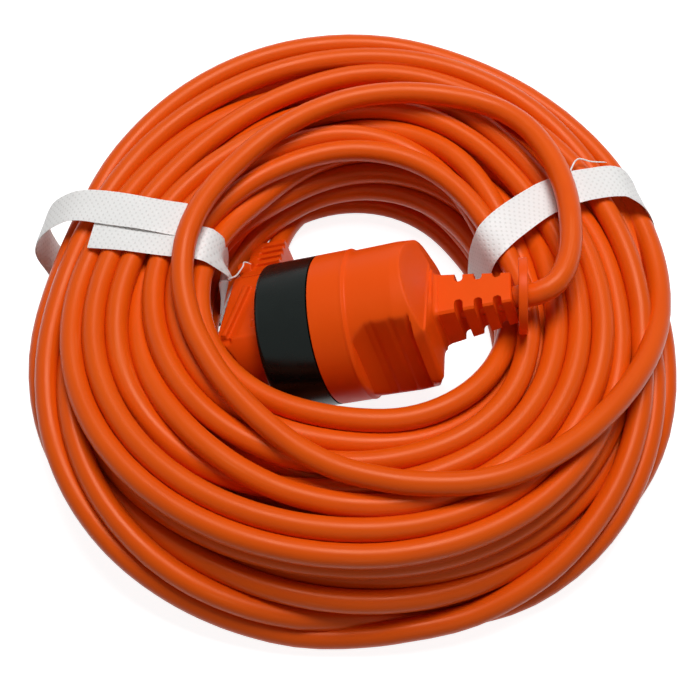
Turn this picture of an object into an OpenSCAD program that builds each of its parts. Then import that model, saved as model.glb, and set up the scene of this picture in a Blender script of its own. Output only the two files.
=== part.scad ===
// Mains extension lead for a caravan: a long orange cord wound into a coil and held by two
// strapping bands, with its angled plug pushed into its own coupler in the middle of the coil.
// Millimetres. +Z is up, and the origin is the middle of the coil's footprint on the ground.

/* [Cord] */
// Outside diameter of the sheath
cord_d = 8.5; // [7.6:0.1:8.6]
// Outside diameter of one insulated core
core_d = 2.8; // [2.4:0.1:3]
// Clearance between the sheath and a bore moulded round it
sheath_gap = 0.05; // [0.02:0.01:0.1]

/* [Coil] */
// Width of the coil, left to right
coil_w = 243; // [240:1:260]
// Length of the coil, front to back
coil_l = 256; // [252:1:270]
// Width of the hole in the coil
hole_w = 103; // [98:1:104]
// Length of the hole in the coil
hole_l = 112.5; // [110:0.5:114]
// How far the hole lies behind the middle of the coil
hole_shift = 6.75; // [4:0.25:7]
// Turns from the hole to the rim in one layer
layer_turns = 6.3; // [5:0.1:6.3]
// Turns in the top layer, which ends part way in
top_turns = 3.476; // [3.4:0.002:3.5]
// Turns that the bottom layer leaves out at the hole
missing_turns = 1; // [0.8:0.1:1.2]
// Height from one layer to the next
layer_rise = 13.2; // [13:0.1:14]
// Drop of the rim and of the hole's edge for each layer above the second
crown = 4; // [0:0.5:4]

/* [Straps] */
// Width of a strapping band
strap_w = 15; // [12:0.5:19]
// Thickness of a strapping band
strap_t = 0.6; // [0.5:0.05:0.8]
// Inside bend radius where a band turns under the coil
strap_bend = 2.5; // [1.5:0.5:3]
// Clearance between a band and the cord
strap_gap = 0.3; // [0.2:0.1:0.5]

/* [Coupler] */
// Outside diameter of the collar and the sleeve
collar_d = 56; // [54:0.5:58]
// Length of the black collar
collar_len = 20; // [19:0.5:22]
// Radius of the rounded mouth of the collar
collar_round = 2; // [1:0.5:3]
// Length of the plain sleeve behind the collar
sleeve_len = 13.7; // [12:0.1:16]
// Step from the sleeve down to the grip
sleeve_step = 0.7; // [0.4:0.1:1.5]
// Length of the grip
grip_len = 25.6; // [24:0.1:28]
// Distance between the two grip flats
grip_flat_w = 42; // [40:1:46]
// Length of the sloping back of the grip
slope_len = 9; // [7:0.5:10]
// Height of the flat rear face of the grip
rear_face_h = 28.4; // [26:0.2:32]
// Diameter of the socket
socket_d = 39.5; // [39:0.1:40]
// Depth of the socket
socket_depth = 17.5; // [17.5:0.1:18]

/* [Plug] */
// Diameter of the plug's face
face_d = 37.6; // [37:0.1:38]
// Diameter of the plug's back
back_d = 39; // [36:0.5:40]
// Thickness of the plug's back
back_t = 18; // [16:0.5:18]
// Distance from the pins' middle to the end of the cord outlet
outlet_reach = 52; // [50:0.5:54]
// Height of the plug's back between its two flat sides
back_h = 30; // [29:0.5:34]
// How far the flat of the plug's back reaches past the pins, away from the outlet
back_flat = 11; // [8:0.5:12]
// Diameter of a pin
pin_d = 4.8; // [4.7:0.05:4.8]
// Length of a pin
pin_len = 19; // [18:0.5:19.5]
// Distance between the two pins
pin_pitch = 19; // [18.8:0.1:19.2]

/* [Cord outlets] */
// Width of the coupler's outlet where it leaves the grip
outlet_w = 21; // [19:0.5:22]
// Width of the coupler's outlet at its end
outlet_end_w = 15; // [14:0.5:16]
// Length of the coupler's outlet
outlet_len = 29; // [27:0.5:31]
// Width of a slot in the coupler's outlet
slot_w = 3.4; // [2.8:0.1:4]
// Distance from one slot to the next
slot_pitch = 7.8; // [7:0.1:8.4]
// Number of slots on each side
slots = 3; // [1:1:3]

/* [Disc on the cord] */
// Outside diameter of the loose disc
disc_d = 27.4; // [24:0.2:28]
// Thickness of the disc
disc_t = 3; // [2:0.1:3.4]
// Diameter of the hole in the disc
disc_hole_d = 10.4; // [10.2:0.1:11]

/* [Hidden] */
$fn = 64;
eps = 0.01;
orange = "orangered";
nickel = "silver";

// Where the coupler's mouth lies, how far the coupler rises to the right, and its turn
// about its own length
mouth = [-26, -11.5, 27.2];
tilt = 18.7;
roll = -16;

// ---- Points and tubes ----

function unit(v) = v / norm(v);

// A point of the connectors' own frame, which has +X from the plug to the coupler's cord,
// put where the connectors lie in the coil
function turned(p) =
    let (y = p[1] * cos(roll) - p[2] * sin(roll), z = p[1] * sin(roll) + p[2] * cos(roll))
    [p[0] * cos(tilt) - z * sin(tilt), y, p[0] * sin(tilt) + z * cos(tilt)];
function placed(p) = mouth + turned(p);
module in_place() translate(mouth) rotate([0, -tilt, 0]) rotate([roll, 0, 0]) children();

function heading(path, i) = unit(path[min(i + 1, len(path) - 1)] - path[max(i - 1, 0)]);

// One ring of a tube: its first corner lies level beside the path
function ring(centre, ahead, r, sides) =
    let (beside = unit(cross(ahead, [0, 0, 1])), above = cross(beside, ahead))
    [for (k = [0 : sides - 1])
        centre + r * (cos(360 * k / sides) * beside + sin(360 * k / sides) * above)];

// A closed tube of many flat sides that follows a path
module tube(path, d, sides) {
    last = len(path) - 1;
    corners = [for (i = [0 : last]) each ring(path[i], heading(path, i), d / 2, sides)];
    walls = [for (i = [0 : last - 1], k = [0 : sides - 1])
        let (a = i * sides + k, b = i * sides + (k + 1) % sides)
        each [[a, b, b + sides], [a, b + sides, a + sides]]];
    near_end = [for (k = [1 : sides - 2]) [0, k + 1, k]];
    far_end = [for (k = [1 : sides - 2]) [last * sides, last * sides + k, last * sides + k + 1]];
    polyhedron(corners, concat(walls, near_end, far_end));
}

// ---- Coil ----

// One loop lies on an oval. share is 0 for the loop at the hole and 1 for the loop at the rim
function oval_x(share) = (hole_w + cord_d) / 2 + share * (coil_w - hole_w - 2 * cord_d) / 2;
function oval_y(share) = (hole_l + cord_d) / 2 + share * (coil_l - hole_l - 2 * cord_d) / 2;
function oval_shift(share) = hole_shift * (1 - share);

first_azimuth = 80;
end_lean = 0.07;
flat_cut = cord_d / 10;
first_height = cord_d / 2 - flat_cut;
last_turn = 3 * layer_turns + top_turns;
rings_per_turn = 24;
cord_sides = 6;

// The spiral runs out, in, out and in again: turn counts from the hole's edge of the bottom layer
function share_at(turn) =
    let (leg = turn % (2 * layer_turns)) leg < layer_turns ? leg / layer_turns : 2 - leg / layer_turns;
// The first and the last half turn lean into the hole, clear of the turn beside them
function lean_at(turn) = end_lean * (pow(max(0, 1 - 2 * (turn - missing_turns)), 2)
    + pow(max(0, 1 - 2 * (last_turn - turn)), 2));
function eased(t) = let (s = min(1, max(0, t))) s * s * (3 - 2 * s);
// Each climb takes the half turn in which the spiral reverses
function level_at(turn) = eased(2 * (turn - layer_turns) + 0.5) + eased(2 * (turn - 2 * layer_turns) + 0.5)
    + eased(2 * (turn - 3 * layer_turns) + 0.5);
function height_at(turn) = first_height + level_at(turn) * layer_rise
    - crown * max(0, level_at(turn) - 1) * pow(abs(2 * share_at(turn) - 1), 2.5);
function coil_point(turn) =
    let (share = share_at(turn) - lean_at(turn), azimuth = first_azimuth - 360 * (turn - missing_turns))
    [oval_x(share) * cos(azimuth), oval_shift(share) + oval_y(share) * sin(azimuth), height_at(turn)];

wound = let (steps = round((last_turn - missing_turns) * rings_per_turn))
    [for (i = [0 : steps]) coil_point(missing_turns + i * (last_turn - missing_turns) / steps)];
// Both ends run straight for one diameter
inner_ahead = unit(wound[0] - wound[1]);
outer_ahead = unit(wound[len(wound) - 1] - wound[len(wound) - 2]);
inner_end = wound[0] + cord_d * inner_ahead;
outer_end = wound[len(wound) - 1] + cord_d * outer_ahead;
coil_path = concat([inner_end], wound, [outer_end]);

// Least distance between two turns, less the cord itself
coil_gap = min([for (i = [0 : len(coil_path) - 1], j = [i + 12 : 1 : len(coil_path) - 1])
    norm(coil_path[i] - coil_path[j])]) - cord_d;
echo(turns_in_coil = last_turn - missing_turns, least_gap_in_coil = coil_gap);

module below_ground() translate([-coil_w, -coil_l, -2 * cord_d]) cube([2 * coil_w, 2 * coil_l, 2 * cord_d]);

module cord_coil() {
    color(orange)
    difference() {
        tube(coil_path, cord_d, cord_sides);
        below_ground();
        strap_pocket(left_strap_azimuths);
        strap_pocket(right_strap_azimuths);
    }
}

// Hollow in the cord's underside where a band passes between the coil and the ground
module strap_pocket(azimuths) {
    at = strap_at(azimuths);
    pocket_l = coil_w / 2;
    pocket_w = strap_w + 2 * strap_gap;
    translate([at[0], at[1], 0]) rotate([0, 0, strap_angle(azimuths)])
        translate([-pocket_l / 2, -pocket_w / 2, -1]) cube([pocket_l, pocket_w, 1 + strap_t + eps]);
}

// ---- Free stretches of the cord ----

outlet_end_x = collar_len + sleeve_len + grip_len + outlet_len + 1;
coupler_exit = placed([outlet_end_x, 0, 0]);
coupler_ahead = turned([1, 0, 0]);
plug_axis_x = -back_t / 2 - 0.5;
plug_exit = placed([plug_axis_x, outlet_reach, 0]);
plug_ahead = turned([0, 1, 0]);

// The loop lies over the coil and both bands, from the coupler round to the top layer's end
loop_route = concat([coupler_exit, coupler_exit + cord_d * coupler_ahead],
    [[72.5, -9.5, 60], [78.5, -4.5, 60.5], [83, 2.5, 60], [85.5, 11, 59], [86.5, 22, 57.5],
     [86, 33, 56], [83.5, 44.5, 55], [79.5, 56, 54], [73, 66.5, 53.5], [64.5, 76, 53],
     [52.5, 83.5, 52.5], [39, 88.5, 52.5], [23.5, 90, 52.5], [8, 89, 53], [-8, 86.5, 53],
     [-23.5, 82, 53], [-37, 75, 53], [-48.5, 64.5, 53], [-56.5, 51, 53.5], [-61.5, 35.5, 54],
     [-63.5, 19, 54], [-64, 3, 52], [-62.5, -12.5, 50], [-59, -27, 48.5], [-53.5, -40, 47],
     [-46, -51, 46], [-37.5, -60, 45], [-27.5, -67.5, 44.5], [-16.5, -73.5, 44],
     [-5.5, -77.5, 43.5], [5, -80, 43], [15, -80.5, 43], [24, -78.5, 43]],
    [outer_end + cord_d * outer_ahead, outer_end]);

// The plug's lead dives under the coil's inner turns and runs into the bottom layer
lead_route = concat([plug_exit, plug_exit + cord_d * plug_ahead],
    [[-28, 52.5, 7.2], [-25.5, 58, 6.2], [-21.5, 63.5, 5.1], [-16.5, 68.5, 4.2], [-11.5, 71.8, 3.6]],
    [inner_end + cord_d * inner_ahead, inner_end]);

free_sides = 10;
module top_loop() color(orange) tube(loop_route, cord_d, free_sides);
module plug_lead() {
    color(orange)
    difference() {
        tube(lead_route, cord_d, free_sides);
        below_ground();
    }
}

// Loose disc that hangs on the cord just past the coupler's outlet
disc_along = 5.4;
disc_at = coupler_exit + disc_along * coupler_ahead;
module cord_disc() {
    color(orange)
    translate(disc_at) rotate([0, 90, 0])
        difference() {
            cylinder(d = disc_d, h = disc_t, center = true);
            cylinder(d = disc_hole_d, h = disc_t + 1, center = true);
        }
}

// ---- Strapping bands ----

// Azimuths on the coil's ovals at which a band crosses the hole's edge and the rim
left_strap_azimuths = [163.5, 163];
right_strap_azimuths = [20, 26];
function oval_point(share, azimuth) =
    [oval_x(share) * cos(azimuth), oval_shift(share) + oval_y(share) * sin(azimuth)];
function strap_at(azimuths) = (oval_point(0, azimuths[0]) + oval_point(1, azimuths[1])) / 2;
function strap_ahead(azimuths) = oval_point(1, azimuths[1]) - oval_point(0, azimuths[0]);
function strap_angle(azimuths) = atan2(strap_ahead(azimuths)[1], strap_ahead(azimuths)[0]);
// The hole's edge bends in front of the band's sides, which takes a little more room there
edge_bulge = strap_w * strap_w / 4 / hole_w;
function strap_span(azimuths) = let (half = norm(strap_ahead(azimuths)) / 2 + cord_d / 2 + strap_gap)
    [-half - edge_bulge, half];
coil_top = first_height + 3 * layer_rise + cord_d / 2;
// Drop of a band's shoulders below its top, and the bend radii at its shoulders and on its crown
shoulder_drop = 9.5;
shoulder_bend = 9;
crown_bend = 30;
// Points of the band's outline between which its end lies over its start
left_lap = [14, 26];
right_lap = [20, 28];

// Corner of an outline replaced by an arc of radius r
function corner_arc(before, at, after, r) =
    let (a = unit(before - at), b = unit(after - at), half = acos(a * b) / 2,
         centre = at + unit(a + b) * r / sin(half),
         start = at + a * r / tan(half) - centre, stop = at + b * r / tan(half) - centre,
         from = atan2(start[1], start[0]), sweep = (atan2(stop[1], stop[0]) - from + 540) % 360 - 180)
    [for (k = [0 : 5]) centre + r * [cos(from + sweep * k / 5), sin(from + sweep * k / 5)]];
function rounded(points, radii) = let (n = len(points))
    [for (i = [0 : n - 1]) each corner_arc(points[(i + n - 1) % n], points[i], points[(i + 1) % n], radii[i])];
// The same outline, further out by d
function grown(points, d) = let (n = len(points))
    [for (i = [0 : n - 1])
        let (a = unit(points[i] - points[(i + n - 1) % n]), b = unit(points[(i + 1) % n] - points[i]),
             out = unit([a[1] + b[1], -a[0] - b[0]]))
        points[i] + out * d / (out * [a[1], -a[0]])];

// The stretch of an outline between the middles of two of its sides
function stretch(points, span) = concat([(points[span[0] - 1] + points[span[0]]) / 2],
    [for (i = [span[0] : span[1]]) points[i]], [(points[span[1]] + points[span[1] + 1]) / 2]);

// Inside of a band round the coil's section: flat below, upright sides and a crowned top
function band_inside(span) =
    let (low = strap_t, top = coil_top + strap_gap, side = coil_top - shoulder_drop, in = span[0], out = span[1],
         quarter = (out - in) / 4.4)
    rounded([[in, low], [out, low], [out, side], [out - quarter, top], [in + quarter, top], [in, side]],
            [strap_bend, strap_bend, shoulder_bend, crown_bend, crown_bend, shoulder_bend]);

// One band: a closed loop whose end lies over its start for a short way
module band(azimuths, lap) {
    at = strap_at(azimuths);
    inside = band_inside(strap_span(azimuths));
    outside = grown(inside, strap_t);
    over = grown(inside, 2 * strap_t);
    lap_outer = stretch(over, lap);
    lap_inner = stretch(grown(inside, strap_t / 2), lap);
    last = len(lap_inner) - 1;
    color("white")
    translate([at[0], at[1], 0]) rotate([0, 0, strap_angle(azimuths)])
        translate([0, strap_w / 2, 0]) rotate([90, 0, 0])
        linear_extrude(strap_w) union() {
            difference() {
                polygon(outside);
                polygon(inside);
            }
            polygon(concat(lap_outer, [for (i = [last : -1 : 0]) lap_inner[i]]));
        }
}
module left_strap() band(left_strap_azimuths, left_lap);
module right_strap() band(right_strap_azimuths, right_lap);

// ---- Coupler ----

collar_r = collar_d / 2;
grip_r = collar_r - sleeve_step;
sleeve_x = collar_len;
grip_x = sleeve_x + sleeve_len;
grip_end_x = grip_x + grip_len;
spigot_len = 8;
spigot_r = collar_r - 4;
contact_x = 21;
contact_len = 21;
crimp_len = 7;
barrel_bore_r = core_d / 2 + sheath_gap;
barrel_r = barrel_bore_r + 0.6;
carrier_x = collar_len + spigot_len;
carrier_len = contact_x + contact_len - carrier_x;
carrier_r = 19;
bay_len = 10;
bay_r = 12;
tail_x = grip_end_x - 1;
earth_t = 0.8;
earth_w = 6;
// The earth springs stand this far inside the socket's wall
earth_proud = 0.55;
part_gap = 0.1;
moving_gap = 0.3;

module along_x(x, len, r) translate([x, 0, 0]) rotate([0, 90, 0]) cylinder(r = r, h = len);

// Side view and plan of the grip: its top and bottom slope down to a flat rear face
module grip_side() {
    slope_x = grip_end_x - slope_len + 1;
    linear_extrude(collar_d, center = true)
        polygon([[grip_x - 1, -collar_r], [slope_x, -collar_r], [grip_end_x + 1, -rear_face_h / 2],
                 [grip_end_x + 1, rear_face_h / 2], [slope_x, collar_r], [grip_x - 1, collar_r]]);
}
module grip_plan() {
    rim_r = grip_r - 2;
    linear_extrude(collar_d, center = true)
        polygon([[grip_x - 1, -grip_r], [grip_end_x - 2, -grip_r], [grip_end_x + 1, -rim_r],
                 [grip_end_x + 1, rim_r], [grip_end_x - 2, grip_r], [grip_x - 1, grip_r]]);
}

// Flats at the front and the back of the grip, with three shallow finger grooves
module grip_flats() {
    flat_x = grip_x + 2;
    flat_len = grip_end_x - flat_x - 0.6;
    for (side = [-1, 1]) {
        translate([flat_x, side * (grip_flat_w / 2 + collar_r / 2) - collar_r / 2, -collar_r])
            cube([flat_len, collar_r, collar_d]);
        for (i = [1 : 3])
            translate([flat_x + i * flat_len / 4, side * grip_flat_w / 2, 0])
                cube([flat_len / 8, 1, 30], center = true);
    }
}

// Square outlet that narrows towards its end, as a side view and a plan crossed
module outlet_block() {
    start = grip_end_x - 2;
    end = outlet_end_x;
    shape = [[start, -outlet_w / 2], [end, -outlet_end_w / 2], [end, outlet_end_w / 2], [start, outlet_w / 2]];
    intersection() {
        rotate([90, 0, 0]) linear_extrude(collar_d, center = true) polygon(shape);
        linear_extrude(collar_d, center = true) polygon(shape);
    }
}

// Slots that let the outlet bend: at the front they open downwards, at the back upwards
module outlet_slots() {
    first = outlet_end_x - 3.6 - slot_w / 2;
    for (i = [0 : slots - 1], side = [-1, 1])
        translate([first - i * slot_pitch - slot_w / 2, side < 0 ? -outlet_w : cord_d / 2 - 0.4,
                   side < 0 ? -outlet_w + 5.6 : -5.6])
            cube([slot_w, outlet_w - cord_d / 2 + 0.4, outlet_w]);
}

module coupler_body() {
    color(orange)
    in_place()
    difference() {
        union() {
            along_x(sleeve_x, sleeve_len, collar_r);
            intersection() {
                along_x(grip_x - 1, grip_len + 2, grip_r);
                rotate([90, 0, 0]) grip_side();
                grip_plan();
            }
            outlet_block();
        }
        grip_flats();
        outlet_slots();
        along_x(sleeve_x - 1, spigot_len + 1 + part_gap, spigot_r + part_gap);
        along_x(carrier_x - 1, carrier_len + 1 + part_gap, carrier_r + part_gap);
        along_x(carrier_x, carrier_len + bay_len, bay_r);
        translate([carrier_x + carrier_len + bay_len - eps, 0, 0]) rotate([0, 90, 0])
            cylinder(r1 = bay_r, r2 = cord_d / 2, h = tail_x - carrier_x - carrier_len - bay_len + 2 * eps);
        along_x(tail_x, outlet_len + 5, cord_d / 2 + sheath_gap);
    }
}

// Black insert: its rim shows as the collar, and its floor carries the contacts
module coupler_collar() {
    slot_y = socket_d / 2 - earth_proud;
    color("black")
    in_place()
    difference() {
        union() {
            rotate([0, 90, 0]) rotate_extrude()
                union() {
                    translate([0, collar_round]) square([collar_r, collar_len - collar_round]);
                    square([collar_r - collar_round, collar_len]);
                    translate([collar_r - collar_round, collar_round]) circle(r = collar_round);
                }
            along_x(collar_len - 1, spigot_len + 1, spigot_r);
        }
        along_x(-1, socket_depth + 1, socket_d / 2);
        for (side = [-1, 1]) {
            translate([0, 0, side * pin_pitch / 2]) along_x(socket_depth - 1, collar_len, contact_r + part_gap);
            translate([2, side > 0 ? slot_y - part_gap : -slot_y - earth_t - part_gap, -earth_w / 2 - part_gap])
                cube([collar_len + spigot_len, earth_t + 2 * part_gap, earth_w + 2 * part_gap]);
        }
        translate([earth_cross_x - part_gap, -slot_y, -earth_w / 2 - part_gap])
            cube([collar_len, 2 * slot_y, earth_w + 2 * part_gap]);
    }
}

contact_bore_r = pin_d / 2 + moving_gap;
contact_r = contact_bore_r + 0.9;
earth_cross_x = collar_len + 4;

// Moulded carrier behind the insert that keeps the contacts apart
module contact_carrier() {
    color("dimgray")
    in_place()
    difference() {
        along_x(carrier_x, carrier_len, carrier_r);
        for (side = [-1, 1])
            translate([0, 0, side * pin_pitch / 2]) along_x(carrier_x - 1, carrier_len + 2, contact_r + part_gap);
        along_x(carrier_x - 1, carrier_len + 2, barrel_r + part_gap);
        translate([carrier_x - 1, -carrier_r - 1, -earth_w / 2 - part_gap])
            cube([2, 2 * carrier_r + 2, earth_w + 2 * part_gap]);
    }
}

// Contact: a sleeve for the pin with a crimp barrel for the core behind it
module contact(side) {
    color("goldenrod")
    in_place() translate([0, 0, side * pin_pitch / 2])
    difference() {
        union() {
            along_x(contact_x, contact_len, contact_r);
            along_x(contact_x + contact_len - 1, crimp_len + 1, barrel_r);
        }
        along_x(contact_x - 1, contact_len - 2, contact_bore_r);
        along_x(contact_x + contact_len, crimp_len + 1, barrel_bore_r);
    }
}
module line_contact() contact(1);
module neutral_contact() contact(-1);

// Earth bracket: two springs in the socket's wall, joined behind its floor
module coupler_earth_bracket() {
    spring_y = socket_d / 2 - earth_proud;
    color(nickel)
    in_place()
    difference() {
        union() {
            for (side = [-1, 1])
                translate([3, side > 0 ? spring_y : -spring_y - earth_t, -earth_w / 2])
                    cube([earth_cross_x + earth_t - 3, earth_t, earth_w]);
            translate([earth_cross_x, -spring_y - eps, -earth_w / 2])
                cube([earth_t, 2 * (spring_y + eps), earth_w]);
            along_x(earth_cross_x, earth_t + 5, barrel_r);
        }
        along_x(earth_cross_x + earth_t, 6, barrel_bore_r);
    }
}

module coupler_cord_tail() {
    color(orange) in_place() along_x(tail_x, outlet_end_x - tail_x, cord_d / 2);
}

// A core runs from the end of the sheath to its contact
module core_run(path, tint) color(tint) tube([for (p = path) placed(p)], core_d, 8);
core_gather = core_d / 2 + 0.25;
module contact_core(side, tint) {
    crimp_x = contact_x + contact_len;
    z = side * pin_pitch / 2;
    out = side * core_gather;
    core_run([[crimp_x + 0.3, 0, z], [crimp_x + crimp_len, 0, z], [crimp_x + crimp_len + 2, 0, z * 0.93],
              [tail_x - 4, 0.5, out * 1.8], [tail_x - 1.5, 0.8, out], [tail_x - 0.1, 0.8, out]], tint);
}
module coupler_brown_core() contact_core(1, "saddlebrown");
module coupler_blue_core() contact_core(-1, "royalblue");
module coupler_earth_core() {
    core_run([[earth_cross_x + earth_t + 0.1, 0, 0], [earth_cross_x + 8, 0, 0],
              [contact_x + contact_len, 0, 0], [tail_x - 8, -1, 0], [tail_x - 3, -2.2, 0],
              [tail_x - 0.1, -2.2, 0]], "yellowgreen");
}

// ---- Plug ----

face_x = socket_depth - moving_gap;
back_x = -0.5;
back_end_x = back_x - back_t;
bridge_t = 8;
bridge_r = 15.5;
// The pocket behind the bridge is wide for the pins' ends and narrower where the cores turn
wide_pocket_x = -5.5;
core_pocket_x = -14;
core_pocket_y = 4;
core_pocket_r = 9;
lead_bore_y = 16;
strip_y = 17.1;
strip_w = 7;
earth_tube_y = -10.2;
earth_tube_r = 3.2;
plug_pocket_r = -earth_tube_y + earth_tube_r + 0.2;
earth_foot_x = 3;

// Where the plug's back starts to narrow and where it becomes the outlet, with half widths there
shoulder_y = 18;
neck_y = 33;
neck_r = 9;
outlet_r = 6.5;
// Ribs moulded across the outlet, and the bar on each side that a finger pulls at
groove_w = 1.8;
groove_pitch = 4.2;
grooves = 4;
bar_w = 2.2;
bar_len = 27;
bar_h = 1.2;
bar_turn = 10.5;

// Outline of the plug's back: round behind the pins, narrowing to the cord outlet
module back_outline() {
    shoulder = back_d * 0.42;
    intersection() {
        union() {
            circle(d = back_d);
            polygon([[0, -back_d / 2], [shoulder_y, -shoulder], [neck_y, -neck_r], [outlet_reach, -outlet_r],
                     [outlet_reach, outlet_r], [neck_y, neck_r], [shoulder_y, shoulder], [0, back_d / 2]]);
        }
        translate([-back_d, -back_h / 2]) square([2 * back_d + outlet_reach, back_h]);
    }
}

module plug_body() {
    color(orange)
    in_place()
    difference() {
        union() {
            along_x(back_x - 1, face_x - back_x + 1, face_d / 2);
            // The back slopes away from the outlet's side and narrows to a square outlet
            intersection() {
                translate([back_end_x, 0, 0]) rotate([90, 0, 90]) linear_extrude(back_t) back_outline();
                linear_extrude(collar_d, center = true)
                    polygon([[back_end_x, -back_flat], [back_end_x + back_d / 2 - back_flat, -back_d / 2],
                             [back_x, -back_d / 2], [back_x, shoulder_y],
                             [plug_axis_x + outlet_r, neck_y], [plug_axis_x + outlet_r, outlet_reach],
                             [plug_axis_x - outlet_r, outlet_reach], [plug_axis_x - outlet_r, neck_y],
                             [back_end_x + 1.5, shoulder_y]]);
            }
            for (side = [-1, 1])
                translate([back_end_x + bar_w, -back_flat, side * back_h / 2 - bar_h])
                    rotate([0, 0, -bar_turn]) cube([bar_w, bar_len, 2 * bar_h]);
        }
        for (i = [0 : grooves - 1], side = [-1, 1])
            translate([plug_axis_x - 10, outlet_reach - 3 - i * groove_pitch - groove_w,
                       side > 0 ? 5.2 + i * 0.5 : -15.2 - i * 0.5])
                cube([20, groove_w, 10]);
        along_x(face_x - bridge_t, bridge_t + 1, bridge_r + part_gap);
        along_x(wide_pocket_x, face_x - bridge_t - wide_pocket_x + eps, plug_pocket_r);
        translate([0, core_pocket_y, 0])
            along_x(core_pocket_x, wide_pocket_x - core_pocket_x + eps, core_pocket_r);
        translate([plug_axis_x, 8, 0]) rotate([-90, 0, 0]) cylinder(d = cord_d + 2 * sheath_gap, h = outlet_reach);
        for (side = [-1, 1])
            translate([back_x, side > 0 ? strip_y - part_gap : -strip_y - face_d, -strip_w / 2 - part_gap])
                cube([face_x, face_d + part_gap, strip_w + 2 * part_gap]);
        translate([earth_foot_x - part_gap, -strip_y - eps, -strip_w / 2 - part_gap])
            cube([earth_t + 2 * part_gap, 2 * (strip_y + eps), strip_w + 2 * part_gap]);
    }
}

// Hard bridge in the plug's face that holds the pins
module plug_bridge() {
    color("dimgray")
    in_place()
    difference() {
        along_x(face_x - bridge_t, bridge_t, bridge_r);
        for (side = [-1, 1])
            translate([0, 0, side * pin_pitch / 2]) along_x(0, face_x + 1, pin_d / 2 + part_gap / 2);
        translate([0, earth_tube_y, 0]) along_x(0, face_x + 1, earth_tube_r + part_gap);
    }
}

module pin(side) {
    root_x = face_x - bridge_t - 1;
    tip_x = face_x + pin_len;
    color(nickel)
    in_place() translate([0, 0, side * pin_pitch / 2])
    difference() {
        union() {
            along_x(root_x, tip_x - root_x - pin_d / 2, pin_d / 2);
            translate([tip_x - pin_d / 2, 0, 0]) sphere(d = pin_d);
            along_x(root_x - 6, 7, barrel_r);
        }
        along_x(root_x - 7, 7, barrel_bore_r);
    }
}
module line_pin() pin(1);
module neutral_pin() pin(-1);

// Earth strips at the plug's sides, joined by a foot that also carries the earth tube
module plug_earth_bracket() {
    color(nickel)
    in_place()
    difference() {
        union() {
            for (side = [-1, 1])
                translate([earth_foot_x, side > 0 ? strip_y : -strip_y - earth_t, -strip_w / 2])
                    cube([face_x - 1 - earth_foot_x, earth_t, strip_w]);
            translate([earth_foot_x, -strip_y - eps, -strip_w / 2]) cube([earth_t, 2 * (strip_y + eps), strip_w]);
            translate([0, earth_tube_y, 0]) along_x(earth_foot_x, face_x - earth_foot_x, earth_tube_r);
            along_x(earth_foot_x - 5, 5 + earth_t, barrel_r);
        }
        translate([0, earth_tube_y, 0]) along_x(earth_foot_x + 2, face_x, earth_tube_r - 0.7);
        along_x(earth_foot_x - 6, 6, barrel_bore_r);
    }
}

module plug_cord_tail() {
    color(orange) in_place()
        translate([plug_axis_x, lead_bore_y, 0]) rotate([-90, 0, 0])
            cylinder(d = cord_d, h = outlet_reach - lead_bore_y);
}

module pin_core(side, tint) {
    barrel_x = face_x - bridge_t - 7;
    z = side * pin_pitch / 2;
    out = side * core_gather;
    core_run([[barrel_x + 5.5, 0, z], [barrel_x, 0, z], [barrel_x - 3, 0.6, z * 0.98],
              [barrel_x - 7, 4, z * 0.75], [plug_axis_x + 1, 8.5, out * 1.6], [plug_axis_x + 0.8, 12, out],
              [plug_axis_x + 0.8, lead_bore_y - 0.1, out]], tint);
}
module plug_brown_core() pin_core(1, "saddlebrown");
module plug_blue_core() pin_core(-1, "royalblue");
module plug_earth_core() {
    core_run([[earth_foot_x - 0.1, 0, 0], [earth_foot_x - 5, 0, 0], [earth_foot_x - 8, 0.5, 0],
              [plug_axis_x, 4, 0], [plug_axis_x - 2.2, 8, 0], [plug_axis_x - 2.2, 12, 0],
              [plug_axis_x - 2.2, lead_bore_y - 0.1, 0]], "yellowgreen");
}

cord_coil();
top_loop();
plug_lead();
cord_disc();
left_strap();
right_strap();
coupler_body();
coupler_collar();
contact_carrier();
line_contact();
neutral_contact();
coupler_earth_bracket();
coupler_cord_tail();
coupler_brown_core();
coupler_blue_core();
coupler_earth_core();
plug_body();
plug_bridge();
line_pin();
neutral_pin();
plug_earth_bracket();
plug_cord_tail();
plug_brown_core();
plug_blue_core();
plug_earth_core();
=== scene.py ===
# %% [markdown]
# # A shore power cord, coiled and banded
# This lesson dresses a coiled extension lead: 20 metres of orange flex, two strapping bands, a
# moulded coupler and the angled plug that sits in it. The rigid parts arrive as a fixed frame of
# CAD nodes. Everything that is added here is a surface worked out with numpy in the same frame, in
# millimetres, and turned into metres when its mesh is made.

# %% Load the frame
import bpy
import bmesh
import math
import numpy as np
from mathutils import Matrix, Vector


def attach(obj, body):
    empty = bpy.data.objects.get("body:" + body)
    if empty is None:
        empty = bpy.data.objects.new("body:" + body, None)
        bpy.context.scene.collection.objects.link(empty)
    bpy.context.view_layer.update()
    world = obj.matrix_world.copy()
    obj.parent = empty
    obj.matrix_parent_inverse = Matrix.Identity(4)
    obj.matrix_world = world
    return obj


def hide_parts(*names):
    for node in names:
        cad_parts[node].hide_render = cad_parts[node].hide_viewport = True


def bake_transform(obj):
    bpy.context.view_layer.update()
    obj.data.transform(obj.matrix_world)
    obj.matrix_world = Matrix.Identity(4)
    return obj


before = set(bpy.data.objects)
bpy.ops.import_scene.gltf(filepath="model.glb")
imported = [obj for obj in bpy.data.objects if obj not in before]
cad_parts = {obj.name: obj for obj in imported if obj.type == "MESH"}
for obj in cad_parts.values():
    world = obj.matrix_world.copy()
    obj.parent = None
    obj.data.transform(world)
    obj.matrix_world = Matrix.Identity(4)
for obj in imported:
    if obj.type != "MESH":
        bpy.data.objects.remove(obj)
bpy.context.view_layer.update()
MM = 0.001

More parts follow.
